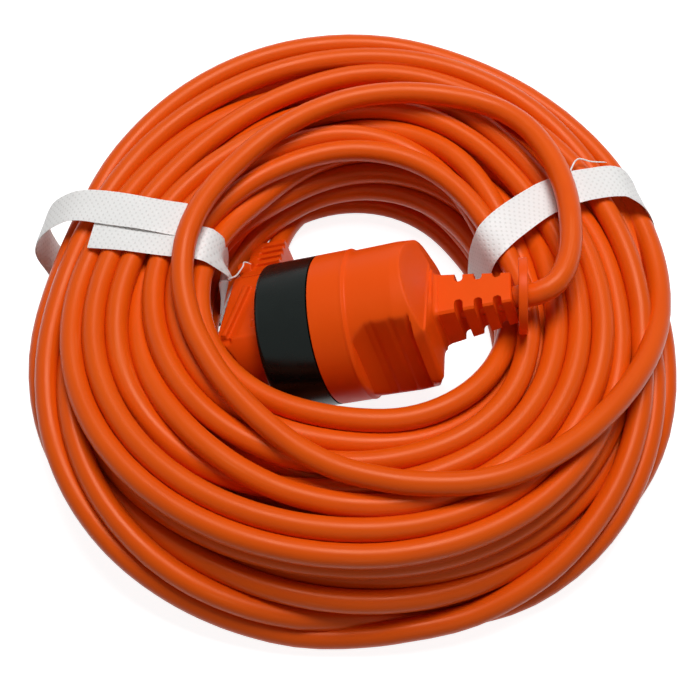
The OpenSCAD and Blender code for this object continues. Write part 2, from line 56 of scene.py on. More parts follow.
# %% [markdown]
# ## The camera
# The lead is looked down on at 60 degrees from half a metre, so the far side of the coil is drawn
# smaller than the near side. A camera in Blender looks along its own -Z, and `to_track_quat` turns
# that towards the point that it is aimed at. A lens of `36 mm * focal pixels / image width` on a
# 36 mm sensor gives the wanted focal length in pixels.

# %% Camera
CAMERA_ELEVATION = math.radians(60)
CAMERA_DISTANCE = 500
AIM = np.array([0, -0.9, 0])
IMAGE_WIDTH = 700
FOCAL_PIXELS = 1251

camera = bpy.data.objects.new("camera", bpy.data.cameras.new("camera"))
bpy.context.collection.objects.link(camera)
bpy.context.scene.camera = camera
camera.data.sensor_width = 36
camera.data.lens = 36 * FOCAL_PIXELS / IMAGE_WIDTH
camera.data.clip_start = 0.01
towards_camera = np.array([0, -math.cos(CAMERA_ELEVATION), math.sin(CAMERA_ELEVATION)])
camera.location = Vector((AIM + CAMERA_DISTANCE * towards_camera) * MM)
camera.rotation_euler = Vector(-towards_camera).to_track_quat("-Z", "Y").to_euler()
print("lens", round(camera.data.lens, 1), "mm")

# %% [markdown]
# ## Grids of points and tubes
# Every surface here is a grid of points: rows along the piece and columns around or across it. The
# faces between them follow from their numbers alone, so one function serves all the pieces.

# %% Helpers for meshes
def grid_faces(rows, columns, round_columns=True, round_rows=False):
    """Quads between neighbouring rows and columns of a grid, closed where a direction goes round."""
    row = np.arange(rows if round_rows else rows - 1)
    column = np.arange(columns if round_columns else columns - 1)
    a, b = np.meshgrid(row, column, indexing="ij")
    below, beside = (a + 1) % rows, (b + 1) % columns
    corners = [a * columns + b, a * columns + beside, below * columns + beside, below * columns + b]
    return np.stack(corners, -1).reshape(-1, 4)


def turn_outward(mesh):
    """Turns a closed mesh's faces so that all of them look out of it."""
    form = bmesh.new()
    form.from_mesh(mesh)
    bmesh.ops.recalc_face_normals(form, faces=form.faces)
    form.to_mesh(mesh)
    form.free()


def new_piece(name, points, faces, body, sharp=40, straight=None):
    """A mesh object at the origin from points in millimetres, smooth but for edges over sharp degrees."""
    mesh = bpy.data.meshes.new(name)
    mesh.from_pydata((np.asarray(points, float).reshape(-1, 3) * MM).tolist(), [], [list(f) for f in faces])
    if straight is not None:
        laid_out = mesh.attributes.new("straight", "FLOAT_VECTOR", "POINT")
        laid_out.data.foreach_set("vector", (np.asarray(straight, float).ravel() * MM).astype(np.float32))
    turn_outward(mesh)
    mesh.shade_smooth()
    mesh.set_sharp_from_angle(angle=math.radians(sharp))
    piece = bpy.data.objects.new(name, mesh)
    bpy.context.collection.objects.link(piece)
    if body:
        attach(piece, body)
    return piece


def closed_grid(rows, columns):
    """The faces of a tube-like grid with a flat face over its first and its last row."""
    faces = grid_faces(rows, columns).tolist()
    return faces + [list(range(columns))[::-1], [(rows - 1) * columns + i for i in range(columns)]]


print("a 3 by 4 tube has", len(closed_grid(3, 4)), "faces")

# %% [markdown]
# A cord's line is a list of given points, so it is coarse. A Catmull-Rom
# curve passes through all of them, and `even_steps` then spreads points along it at equal distances,
# because a tube with uneven rings shades unevenly.

# %% Lines through points
def smooth_line(points, per_span=12):
    """Catmull-Rom curve: each span is a cubic whose ends have the slope of their two neighbours' chord."""
    p = np.asarray(points, float)
    p = np.vstack([2 * p[0] - p[1], p, 2 * p[-1] - p[-2]])
    t = np.linspace(0, 1, per_span, endpoint=False)[:, None, None]
    a, b, c, d = p[None, :-3], p[None, 1:-2], p[None, 2:-1], p[None, 3:]
    curve = 0.5 * (2 * b + (c - a) * t + (2 * a - 5 * b + 4 * c - d) * t**2 + (3 * b - a - 3 * c + d) * t**3)
    return np.vstack([curve.transpose(1, 0, 2).reshape(-1, 3), p[-2]])


def so_far(line):
    """Length along a line up to each of its points: the distances between neighbours, added up."""
    return np.r_[0, np.cumsum(np.linalg.norm(np.diff(line, axis=0), axis=1))]


def even_steps(line, step):
    """Points at equal distances along a line, by interpolating each coordinate over the length so far."""
    reached = so_far(line)
    at = np.linspace(0, reached[-1], int(round(reached[-1] / step)) + 1)
    return np.stack([np.interp(at, reached, line[:, k]) for k in range(3)], -1)


def ahead_of(line):
    """The direction of a line at each of its points, with length 1."""
    ahead = np.gradient(line, axis=0)
    return ahead / np.linalg.norm(ahead, axis=1, keepdims=True)


def relax_line(points, passes):
    """Each inner point moves halfway to the middle of its neighbours, again and again."""
    p = points.copy()
    for _ in range(passes):
        p[1:-1] += 0.5 * ((p[:-2] + p[2:]) / 2 - p[1:-1])
    return p


print("a quarter circle of 4 points measures", round(so_far(smooth_line(
    [[math.cos(a), math.sin(a), 0] for a in np.linspace(0, math.pi / 2, 4)]))[-1], 4))

# %% [markdown]
# ## Where the cord goes
# The coupler and the plug share one axis, which climbs to the right and is rolled a little. The
# route of each free stretch keeps within a few millimetres of its CAD solid: the loop that leaves
# the coupler, swings over the coil and both bands and sinks into the coil's right shoulder, and the
# lead that dives from the plug under the inner turns.

# %% Connector frame and cord routes
CORD_D = 8.5
MOUTH = np.array([-26, -11.5, 27.2])
TILT, ROLL = math.radians(18.7), math.radians(-16)
OUTLET_END = 89.3
PLUG_AXIS = -9.5
PLUG_REACH = 52


def turned(p):
    """Turns connector coordinates: first ROLL about their X, then TILT up about the Y across."""
    p = np.asarray(p, float)
    y = p[..., 1] * math.cos(ROLL) - p[..., 2] * math.sin(ROLL)
    z = p[..., 1] * math.sin(ROLL) + p[..., 2] * math.cos(ROLL)
    x = p[..., 0]
    return np.stack([x * math.cos(TILT) - z * math.sin(TILT), y, x * math.sin(TILT) + z * math.cos(TILT)], -1)


def placed(p):
    """Connector coordinates, with +X from the plug to the coupler's cord, put where they lie."""
    return MOUTH + turned(p)


coupler_exit = placed([OUTLET_END, 0, 0])
plug_exit = placed([PLUG_AXIS, PLUG_REACH, 0])
coupler_ahead = turned([1, 0, 0])
plug_ahead = turned([0, 1, 0])

LOOP_START = [coupler_exit, coupler_exit + CORD_D * coupler_ahead,
              [73.2, -8, 60.2], [77.5, -0.5, 60.5], [80, 10, 60.2], [81, 22.5, 59], [80.4, 36, 57.5],
              [77.3, 50.5, 56], [70, 66, 55], [61, 75.7, 54], [52.5, 80.5, 53.7], [43.6, 83.4, 53.6],
              [31.8, 85.6, 53.6], [19.9, 86.2, 53.6], [7.9, 85, 53.6], [-4, 81.8, 53.5], [-15.8, 76.2, 53.4]]
LOOP_REST = [[-27.3, 68.2, 53.2], [-35.6, 60.5, 53], [-42.5, 52.5, 53], [-50.2, 41.8, 53.5],
             [-56.3, 30, 54], [-60.2, 17.2, 54], [-61.3, 6, 53], [-60.4, -5.5, 51.5], [-56.8, -18.5, 50],
             [-51.6, -29.5, 49.3], [-45.3, -39.8, 48.8], [-38.2, -48.7, 48.7], [-31, -56.3, 48.8],
             [-23.9, -62.8, 49], [-16.9, -68.3, 49.2], [-10, -72.4, 49.4], [-3.4, -75.5, 49.5],
             [3.3, -77.6, 49.6], [10, -79.2, 49.7], [20, -80.8, 49.8], [33.3, -81.2, 49.8],
             [43.4, -80.2, 49.6], [53.5, -77.6, 49.2], [64.5, -72.8, 48.4], [75.5, -65.6, 47.2],
             [86, -56.5, 45.8], [95.5, -45.8, 44.6]]
LEAD = [plug_exit, plug_exit + CORD_D * plug_ahead,
        [-28, 52.5, 7.2], [-25.5, 58, 6.2], [-21.5, 63.5, 5.1], [-16.5, 68.5, 4.4], [-11.5, 71.8, 4.3],
        [-4, 72.8, 4.3], [3.5, 72.2, 4.3]]
print("loop, in millimetres:", round(so_far(smooth_line(LOOP_START + LOOP_REST))[-1]))

# %% [markdown]
# ## Winding 36 turns
# A real coil isn't a neat spiral. Each turn finds its own way round, is crossed by others, and lies
# where its neighbours leave room. Drawing that by hand would take thousands of points, so the coil
# is solved in slices. A slice is the cut through the bundle at one azimuth, where every turn shows
# as a circle. The circles start on a plain winding of five layers with a slow wander, then push each
# other apart until none overlap, settle under their own weight, stay inside the coil's outline, and
# are smoothed along the cord, because a stiff cord has no sharp bends.
#
# The outline is a pair of ovals that a few slow waves make uneven, as hands do when they wind.

# %% The bundle's outline
INNER_OVAL, OUTER_OVAL = np.array([55.75, 61.5]), np.array([120.4, 121.4])
INNER_MIDDLE, OUTER_MIDDLE = np.array([0.7, 4.0]), np.array([2.0, -1.8])
INNER_WAVES = {1: (0.032, 0), 2: (0.031, -0.002), 3: (-0.016, -0.032)}
OUTER_WAVES = {2: (-0.0125, 0.019), 3: (0.011, -0.030), 4: (-0.0125, 0.0095)}
BACK_LIMIT = 128.5
START_AZIMUTH = 80
END_AZIMUTH = -19
LAYER_SHARES = np.array([0.15, 0.18, 0.2, 0.225, 0.245])
LAYER_RISE = 8.6
FULL_TURNS = 36
SLICES = 96


def uneven_oval(angle, middle, radii, waves):
    """An oval whose size is 1 + a cos(k angle) + b sin(k angle), added up over the waves k: (a, b)."""
    size = 1 + sum(a * np.cos(k * angle) + b * np.sin(k * angle) for k, (a, b) in waves.items())
    return middle + size[:, None] * radii * np.stack([np.cos(angle), np.sin(angle)], -1)


turns = FULL_TURNS + (START_AZIMUTH - END_AZIMUTH) / 360
layer_ends = np.r_[0, np.cumsum(LAYER_SHARES)] / LAYER_SHARES.sum() * turns
count = int(round(turns * SLICES)) + 1
turn_at = np.arange(count) / SLICES
azimuth = np.radians(START_AZIMUTH - 360 * np.arange(SLICES) / SLICES)
inner = uneven_oval(azimuth, INNER_MIDDLE, INNER_OVAL, INNER_WAVES)
outer = uneven_oval(azimuth, OUTER_MIDDLE, OUTER_OVAL, OUTER_WAVES)
outer[:, 1] = np.minimum(outer[:, 1], BACK_LIMIT)
reach = np.linalg.norm(outer - inner, axis=1)
outward = (outer - inner) / reach[:, None]
print("turns", round(turns, 2), "- the bundle is", round(reach.min() + CORD_D), "to",
      round(reach.max() + CORD_D), "mm wide")

# %% The plain winding and its wander
WANDER_ACROSS, WANDER_UP = 7.5, 3.2
SLOWEST, FASTEST = 0.15, 0.7
rng = np.random.default_rng(15)


def wander(size, waves=9):
    """Sum of sine waves along the cord, less than one to a turn, with random starts, scaled to size."""
    rate = rng.uniform(SLOWEST, FASTEST, waves)
    start = rng.uniform(0, 2 * np.pi, waves)
    return size * np.sin(2 * np.pi * turn_at[:, None] * rate + start).sum(1) / math.sqrt(waves / 2)


layer = np.clip(np.searchsorted(layer_ends, turn_at, side="right") - 1, 0, len(LAYER_SHARES) - 1)
within = (turn_at - layer_ends[layer]) / np.diff(layer_ends)[layer]
share = np.where(layer % 2 == 0, within, 1 - within)
slice_of = np.arange(count) % SLICES
width = reach[slice_of]
across = share * width + wander(WANDER_ACROSS)
up = CORD_D / 2 + LAYER_RISE * layer + wander(WANDER_UP)
path = np.stack([across, up], -1)
print("points along the coil:", count)

# %% [markdown]
# The loop and the lead lie among the turns, so each slice also holds the point where they pass
# through it. Those points don't move, and the turns make room for them. At the end the turns also
# give way by up to 2 mm where the coupler's rear corner comes when it is drawn off the plug.

# %% Fixed circles in each slice
PAST_INNER, PAST_OUTER, OFF_SLICE = 25, 20, 2


def crossing(line):
    """For each slice, where a line passes through it, as distance outward and height, or NaN if it doesn't."""
    rel = line[None, :, :2] - inner[:, None, :]
    along = (rel * outward[:, None, :]).sum(-1)
    beside = rel[..., 0] * outward[:, None, 1] - rel[..., 1] * outward[:, None, 0]
    away = np.where((along > -PAST_INNER) & (along < reach[:, None] + PAST_OUTER), np.abs(beside), np.inf)
    nearest = away.argmin(1)
    found = np.stack([along[np.arange(SLICES), nearest], line[nearest, 2]], -1)
    found[away.min(1) > OFF_SLICE] = np.nan
    return found


fixed = np.stack([crossing(even_steps(smooth_line(r), 1.5)) for r in (LOOP_START, LOOP_REST, LEAD)], 1)
print("slices with the loop over them:", int(np.isfinite(fixed[:, :2, 0]).any(1).sum()))

# %% Settle the turns
ROUNDS = 620
SPACING = CORD_D + 0.12
PUSH, SINK, EVEN_OUT = 0.7, 0.03, 0.4
LONG_STIFFNESS, SHORT_STIFFNESS, LAST_STIFFNESS = 0.12, 0.35, 0.6
TOP = 43.2
SHOULDER = 20
FRONT_DROP, BACK_RISE = 36, 2
LEAD_JOINS = np.array([10.5, 71.2])
LOOP_JOINS_AT, LOOP_JOINS_UP = 0.86, 43
rows = -(-count // SLICES)
drop_at_rim = (FRONT_DROP * ((1 - np.sin(azimuth)) / 2) ** 1.5 - BACK_RISE)[slice_of]
lift = layer / layer.max()


def highest(distance):
    """Top of the bundle: level, but for a shoulder that falls off towards the rim."""
    from_rim = np.clip(1 - (width - distance) / SHOULDER, 0, 1)
    return TOP - drop_at_rim * from_rim**1.6


def in_slices(points):
    """The path's points as rows of turns, one column to a slice, and NaN where a turn is missing."""
    table = np.full((rows * SLICES, 2), np.nan)
    table[:count] = points
    return table.reshape(rows, SLICES, 2).transpose(1, 0, 2)


def push_apart(circles, anchors):
    """Moves circles that are nearer than SPACING away from each other by half of what is missing."""
    everything = np.concatenate([circles, anchors], 1)
    gap = circles[:, :, None] - everything[:, None]
    distance = np.linalg.norm(gap, axis=-1) + 1e-9
    missing = np.nan_to_num(np.clip(SPACING - distance, 0, None))
    missing[:, np.arange(rows), np.arange(rows)] = 0
    share_of = np.where(np.arange(everything.shape[1]) < rows, 0.5, 1.0)
    move = np.nan_to_num(gap / distance[..., None]) * (missing * share_of)[..., None]
    return move.sum(2).transpose(1, 0, 2).reshape(-1, 2)[:count]


def stiffened(points, stride, weight):
    """Each point moves towards the cubic through its neighbours at one and two strides: (4 near - far) / 6."""
    s = stride
    before, after = 2 * points[:1] - points[2 * s:0:-1], 2 * points[-1:] - points[-2:-2 * s - 2:-1]
    p = np.vstack([before, points, after])
    near, far = p[s:-3 * s] + p[3 * s:-s], p[:-4 * s] + p[4 * s:]
    return points + weight * ((4 * near - far) / 6 - points)


start_pin = np.array([(LEAD_JOINS - inner[0]) @ outward[0], CORD_D / 2])
end_pin = np.array([LOOP_JOINS_AT * reach[slice_of[-1]], LOOP_JOINS_UP])
for step in range(ROUNDS):
    ease = 1 - step / ROUNDS
    path[1:-1] += EVEN_OUT * ease * ((path[:-2] + path[2:]) / 2 - path[1:-1])
    path = stiffened(path, 5, LONG_STIFFNESS)
    path = stiffened(path, 2, SHORT_STIFFNESS)
    path[:, 1] += SINK * ease * (CORD_D / 2 + lift * (highest(path[:, 0]) - CORD_D / 2) - path[:, 1])
    path += PUSH * push_apart(in_slices(path), fixed)
    path[:, 0] = np.clip(path[:, 0], 0, width)
    path[:, 1] = np.clip(path[:, 1], CORD_D / 2, highest(path[:, 0]))
    path[:2], path[-3:] = start_pin, end_pin
path = stiffened(path, 1, LAST_STIFFNESS)

circles = in_slices(path)
apart = np.linalg.norm(circles[:, :, None] - circles[:, None], axis=-1)
apart[:, np.arange(rows), np.arange(rows)] = np.nan
print("settled turns: the nearest two lie", round(np.nanmin(apart), 2), "mm apart")

# %% The coil's line
DRAWN_CORNER = [42.2, -37.2, 42.9]
GIVE, GIVE_REACH, GIVE_WAY = 2, 30, [0.55, -0.83, 0]
coil = np.column_stack([inner[slice_of] + outward[slice_of] * path[:, :1], path[:, 1]])
to_corner = np.linalg.norm(coil - DRAWN_CORNER, axis=1, keepdims=True)
coil += GIVE * np.exp(-(to_corner / GIVE_REACH) ** 2) * GIVE_WAY
print("coil, in metres:", round(so_far(coil)[-1] / 1000, 2))

# %% [markdown]
# ## The cord
# The sheath is a plain round extrusion, so a tube with rings square to its line says it all. Each
# point of the tube also keeps the place that it would have if the cord were laid out straight. The
# sheath's material reads that place, so its patterns run with the cord. The cord is two pieces: the
# start of the loop, which is not put with any body, and the rest, which stays with the coil.

# %% Sweep a tube
def tube_piece(name, line, radius, sides, body, slot, keep=slice(None), laid=0):
    """A closed tube along the kept part of a line: each ring is radius * (cosine * beside + sine * above).

    The points that aren't kept only turn the end rings, and laid is the length of cord before the line.
    """
    ahead = ahead_of(line)
    beside = np.cross(ahead, (0, 0, 1))
    beside /= np.linalg.norm(beside, axis=1, keepdims=True)
    above = np.cross(beside, ahead)[keep]
    beside, line = beside[keep], line[keep]
    angle = 2 * np.pi * np.arange(sides) / sides
    ring = np.cos(angle)[None, :, None] * beside[:, None] + np.sin(angle)[None, :, None] * above[:, None]
    size = np.broadcast_to(radius, len(line))[:, None, None]
    straight = np.stack(np.broadcast_arrays(size[..., 0] * np.cos(angle), size[..., 0] * np.sin(angle),
                                            laid + so_far(line)[:, None]), -1)
    return new_piece(name, line[:, None] + size * ring, closed_grid(len(line), sides), body, straight=straight)


def without_kinks(points, radius, passes):
    """Moves each point halfway to its neighbours' middle where the line bends almost as tightly as the radius."""
    p = points.copy()
    for _ in range(passes):
        middle = (p[:-2] + p[2:]) / 2
        step = np.linalg.norm(p[2:] - p[:-2], axis=1) / 2
        bend = 2 * np.linalg.norm(p[1:-1] - middle, axis=1) / step**2
        p[1:-1] += 0.5 * np.clip(bend * radius - 0.7, 0, 1)[:, None] * (middle - p[1:-1])
    return p


# %% The two pieces of cord
RING_STEP = 4.2
CORD_SIDES = 16
JOIN_POINTS, JOIN_PASSES = 14, 12
TIGHTEST_BEND, KINK_PASSES = 36, 120
STRAIGHT_AT_PLUG = 6
loop_start = even_steps(smooth_line(LOOP_START), RING_STEP)
loop_rest = even_steps(smooth_line(LOOP_START[-2:] + LOOP_REST)[12:], RING_STEP)
lead = even_steps(smooth_line(LEAD)[::-1], RING_STEP)
whole = np.vstack([loop_start, loop_rest[1:], coil[::-1], lead])
split = len(loop_start) - 1
for at in (len(loop_start) + len(loop_rest) - 1, len(whole) - len(lead)):
    join = slice(at - JOIN_POINTS, at + JOIN_POINTS)
    whole[join] = relax_line(whole[join], JOIN_PASSES)
kinked = slice(split, -STRAIGHT_AT_PLUG)
whole[kinked] = without_kinks(whole[kinked], TIGHTEST_BEND, KINK_PASSES)
first_stretch = whole[:split + 1]
second_stretch = even_steps(whole[split:], RING_STEP)
first_length, second_length = so_far(first_stretch)[-1], so_far(second_stretch)[-1]
cord_loop = tube_piece("cord_loop", np.vstack([first_stretch, second_stretch[1]]), CORD_D / 2, CORD_SIDES, None,
                       "cord_sheath", keep=slice(None, -1))
cord_wound = tube_piece("cord_wound", np.vstack([first_stretch[-2], second_stretch]), CORD_D / 2, CORD_SIDES, "coil",
                        "cord_sheath", keep=slice(1, None), laid=first_length)
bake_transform(cord_loop)
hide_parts("cord_coil", "top_loop", "plug_lead")
print("cord in metres:", round(first_length / 1000, 3), "and", round(second_length / 1000, 3))

# %% [markdown]
# ## The coupler's moulding
# The coupler is a round sleeve that turns into a squarer grip. Around the axis, the distance to the
# skin is the smallest of four: the round's radius, the distance to two flat sides, the distance to a
# sloping top and bottom, and the distance to a slope on the far shoulder. A smooth minimum rounds
# the edges between them, as a mould does. The same grid goes on over the rear face, and back through
# the inside, so the shell has a real wall.

# %% Coupler body
AROUND = 288
GROOVES, GROOVE_HALF = ((42.4, 0.35), (49.4, 0.4), (55.6, 0.7)), 1.4
FAR_SHOULDER = math.radians(40)
phi = 2 * np.pi * np.arange(AROUND) / AROUND


def soft_least(*values, softness=0.35):
    """Smooth minimum: -k log of the sum of exp(-v / k), with k the softness in millimetres."""
    return -softness * np.log(sum(np.exp(-np.minimum(v, 300) / softness) for v in values))


def skin(x):
    """Outer radius of the coupler at a distance along its axis, for every angle around it."""
    turning = np.interp(x, [20, 32.6, 32.9, 33.4, 34.2, 51, 61], [28, 28, 28.15, 28.15, 27.2, 27.4, 26.6])
    groove = sum(depth * max(0, 1 - abs(x - middle) / GROOVE_HALF) for middle, depth in GROOVES)
    side = np.interp(x, [20, 34.0, 34.7, 40, 56.2, 56.8, 61], [60, 27.6, 23.4, 20.5, 20.5, 24.6, 22.9]) - groove
    top = np.interp(x, [20, 48, 54.4, 60.2, 61.5], [60, 43.4, 27.4, 12.9, 12.9])
    far = np.interp(x, [50, 56.4, 57.2, 61], [60, 29, 26.9, 17.1])
    return soft_least(np.full(AROUND, turning), side / (np.abs(np.cos(phi)) + 1e-6),
                      top / (np.abs(np.sin(phi)) + 1e-6), far / np.maximum(np.cos(phi - FAR_SHOULDER), 0.01))


def rounded_square(half, angle, power=8):
    """Superellipse: half / (|cos|^n + |sin|^n)^(1/n)."""
    return half / (np.abs(np.cos(angle)) ** power + np.abs(np.sin(angle)) ** power) ** (1 / power)


REAR = 61
REAR_SLOPE = 1
RELIEF_ROLL = math.radians(7.7)
RELIEF_FOOT = 9.95
EDGE = 1.4
FILLET = 1.8
MOUTH_END, MOUTH_EDGE = 20.8, 0.4
quarter = np.linspace(0, np.pi / 2, 7)
inside = [(20.4, 24.1), (28.1, 24.1), (28.1, 19.1), (42.1, 19.1), (42.1, 12), (52, 12), (58.3, 4.4), (63.2, 4.4)]
root = rounded_square(RELIEF_FOOT, phi - RELIEF_ROLL)
foot = root + FILLET
edge_ring = np.maximum(skin(REAR) - EDGE, foot)
body_rows = [(x, np.full(AROUND, float(r))) for x, r in inside]
body_rows += [(REAR + REAR_SLOPE + FILLET * (1 - math.sin(t)), root + FILLET * (1 - math.cos(t))) for t in quarter]
body_rows += [(REAR + REAR_SLOPE - k, (1 - k) * foot + k * edge_ring) for k in (0.35, 0.7)]
body_rows += [(x, np.maximum(skin(x) - EDGE + EDGE * math.sin(t), foot * (1 - 0.02 * math.sin(t))))
              for t, x in zip(quarter, REAR - EDGE + EDGE * np.cos(quarter))]
body_rows += [(x, skin(x)) for x in np.arange(REAR - EDGE - 0.4, MOUTH_END, -0.4)]
body_rows += [(MOUTH_END - MOUTH_EDGE * math.sin(t), skin(MOUTH_END) - MOUTH_EDGE * (1 - math.cos(t)))
              for t in quarter[1:]]
shell = placed(np.stack([np.stack([np.full(AROUND, x), r * np.cos(phi), r * np.sin(phi)], -1) for x, r in body_rows]))
coupler_shell = new_piece("coupler_shell", shell, grid_faces(len(body_rows), AROUND, round_rows=True), "coupler",
                          sharp=32)
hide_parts("coupler_body")
print("coupler shell:", shell.shape[0], "rows of", AROUND)

# %% [markdown]
# The strain relief is a square stub with three pairs of slots, cut from its near and its far side, so
# that it can bend. Cutting is easiest with a boolean: two simple closed solids go in, and one comes
# out. The cord inside shows through the slots.

# %% Strain relief
SLOT_W = 3.0
SLOTS = (84.6, 77.9, 71.0)
NEAR_END, FAR_END, FAR_LOW, PAST = -3.9, 4.5, -5.6, 20


def loft(name, sections, sharp=40):
    """A closed piece through sections of equal point count, in connector coordinates, without a body."""
    points = placed(np.asarray(sections, float))
    return new_piece(name, points, closed_grid(len(sections), len(sections[0])), None, sharp)


def cut(piece, *tools):
    """Subtracts closed tools from a piece, keeps the result as the piece's mesh and deletes the tools."""
    for tool in tools:
        boolean = piece.modifiers.new("cut", "BOOLEAN")
        boolean.operation, boolean.solver, boolean.object = "DIFFERENCE", "EXACT", tool
    bpy.context.view_layer.update()
    mesh = bpy.data.meshes.new_from_object(piece.evaluated_get(bpy.context.evaluated_depsgraph_get()))
    piece.modifiers.clear()
    piece.data = mesh
    mesh.shade_smooth()
    mesh.set_sharp_from_angle(angle=math.radians(35))
    for tool in tools:
        bpy.data.objects.remove(tool)


def round_section(x, radius, steps=64):
    """A circle around the connector's axis."""
    angle = 2 * np.pi * np.arange(steps) / steps
    return np.stack([np.full(steps, x), radius * np.cos(angle), radius * np.sin(angle)], -1)


def square_section(x, half, steps=64):
    """A rounded square around the connector's axis, rolled with the relief."""
    angle = 2 * np.pi * (np.arange(steps) + 0.5) / steps
    radius = rounded_square(half, angle, 14)
    angle = angle + RELIEF_ROLL
    return np.stack([np.full(steps, x), radius * np.cos(angle), radius * np.sin(angle)], -1)


def box_sections(low, high):
    """Two sections of four points that bound a box between two corners."""
    (x0, y0, z0), (x1, y1, z1) = low, high
    return [[[x, y0, z0], [x, y1, z0], [x, y1, z1], [x, y0, z1]] for x in (x0, x1)]


def slot_sections(x, inner, end, low, high):
    """A slot with a round inner end, at two heights: half a circle around its end, then straight out."""
    turn = np.linspace(-np.pi / 2, np.pi / 2, 9)
    way = math.copysign(1, end)
    outline = np.stack([x + SLOT_W / 2 * np.sin(turn), inner + way * SLOT_W / 2 * (1 - np.cos(turn))], -1)
    outline = np.vstack([outline, [[x + SLOT_W / 2, end], [x - SLOT_W / 2, end]]])
    y = [outline[:, 1] * math.cos(RELIEF_ROLL) - z * math.sin(RELIEF_ROLL) for z in (low, high)]
    z = [outline[:, 1] * math.sin(RELIEF_ROLL) + z * math.cos(RELIEF_ROLL) for z in (low, high)]
    return [np.stack([outline[:, 0], y[k], z[k]], -1) for k in (0, 1)]


relief = loft("strain_relief", [square_section(60.2, 9.94), square_section(OUTLET_END - 0.1, 6.84),
                                square_section(OUTLET_END + 0.3, 6.45)], sharp=35)
cut(relief, loft("tool", [round_section(58, 4.4), round_section(92, 4.4)]))
for x in SLOTS:
    cut(relief, loft("tool", slot_sections(x, NEAR_END, -PAST, -PAST, PAST)),
        loft("tool", slot_sections(x, FAR_END, PAST, FAR_LOW, PAST)))
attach(relief, "coupler")
soft_edge = relief.modifiers.new("soft_edge", "BEVEL")
soft_edge.width, soft_edge.segments = 0.4 * MM, 2
soft_edge.limit_method, soft_edge.angle_limit = "ANGLE", math.radians(50)
print("strain relief:", len(relief.data.polygons), "faces")

# %% [markdown]
# ## The plug and the disc
# The plug's outer form comes from its CAD node, whose faces meet in hard edges. A moulding's don't,
# so a merged copy of the node is rebuilt from small cubes of one size and smoothed, which rounds
# every edge by about half a millimetre. Small solids that only overlap it become one with it. The
# plug hangs on the second piece of cord, and goes with the coil as that cord does.

# %% Plug body
def merged_copy(name, node):
    """A copy of a CAD node's mesh with its doubled points joined."""
    form = bmesh.new()
    form.from_mesh(node.data)
    bmesh.ops.transform(form, matrix=node.matrix_world, verts=form.verts)
    bmesh.ops.remove_doubles(form, verts=form.verts, dist=2e-6)
    mesh = bpy.data.meshes.new(name)
    form.to_mesh(mesh)
    form.free()
    return mesh


def melt_together(name, meshes, cell, passes, body):
    """One smooth piece from overlapping closed meshes: rebuilt from cells, then smoothed some passes."""
    form = bmesh.new()
    for mesh in meshes:
        form.from_mesh(mesh)
    whole_mesh = bpy.data.meshes.new(name)
    form.to_mesh(whole_mesh)
    form.free()
    piece = bpy.data.objects.new(name, whole_mesh)
    bpy.context.collection.objects.link(piece)
    rebuild = piece.modifiers.new("rebuild", "REMESH")
    rebuild.mode, rebuild.voxel_size, rebuild.use_smooth_shade = "VOXEL", cell * MM, True
    soften = piece.modifiers.new("soften", "SMOOTH")
    soften.factor, soften.iterations = 0.5, passes
    bpy.context.view_layer.update()
    piece.data = bpy.data.meshes.new_from_object(piece.evaluated_get(bpy.context.evaluated_depsgraph_get()))
    piece.modifiers.clear()
    piece.data.shade_smooth()
    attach(piece, body)
    return piece


def solid(sections):
    """The mesh of a closed loft through sections in connector coordinates, without an object."""
    tool = loft("solid", sections)
    mesh = tool.data
    bpy.data.objects.remove(tool)
    return mesh


def trough_sections():
    """The hollow beside the bar: deepest at the bar's foot, and nothing 4.5 mm away from it."""
    return [[[x, y, 14.1], [x + 4.5, y, 15.1], [x + 4.5, y, 18], [x, y, 18]]
            for x, y in ((-14.3, -11.5), (-9.2, 15.3))]


GROOVE_AT_STEP = box_sections((-15.4, 22.6, 11.8), (-3, 23.9, 20))
BAR_FOOT = box_sections((-17.2, -14, 13.4), (-12.6, -11.6, 20))
RECESS = box_sections((-5.6, -8, 14.2), (-3.4, -3.4, 20))
LUG_AT, LUG_R = [0, 33, 9.2], 3.1
CELL, SOFTENING = 0.45, 6
plug_core = bpy.data.objects.new("plug_core", merged_copy("plug_copy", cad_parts["plug_body"]))
bpy.context.collection.objects.link(plug_core)
cut(plug_core, *[loft("tool", hollow) for hollow in (trough_sections(), GROOVE_AT_STEP, BAR_FOOT, RECESS)])
lug = solid([round_section(x, LUG_R, 24) + LUG_AT for x in (-18.3, -12.6)])
smooth_side = solid([[[x, 31, 5], [x, 50, 4], [x, 50, 6.6], [x, 33, 8.9], [x, 31, 9.6]] for x in (-16.6, -12.4)])
plug_shell = melt_together("plug_shell", [plug_core.data, lug, smooth_side], CELL, SOFTENING, "coil")
bpy.data.objects.remove(plug_core)
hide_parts("plug_body")
print("plug shell:", len(plug_shell.data.polygons), "faces")

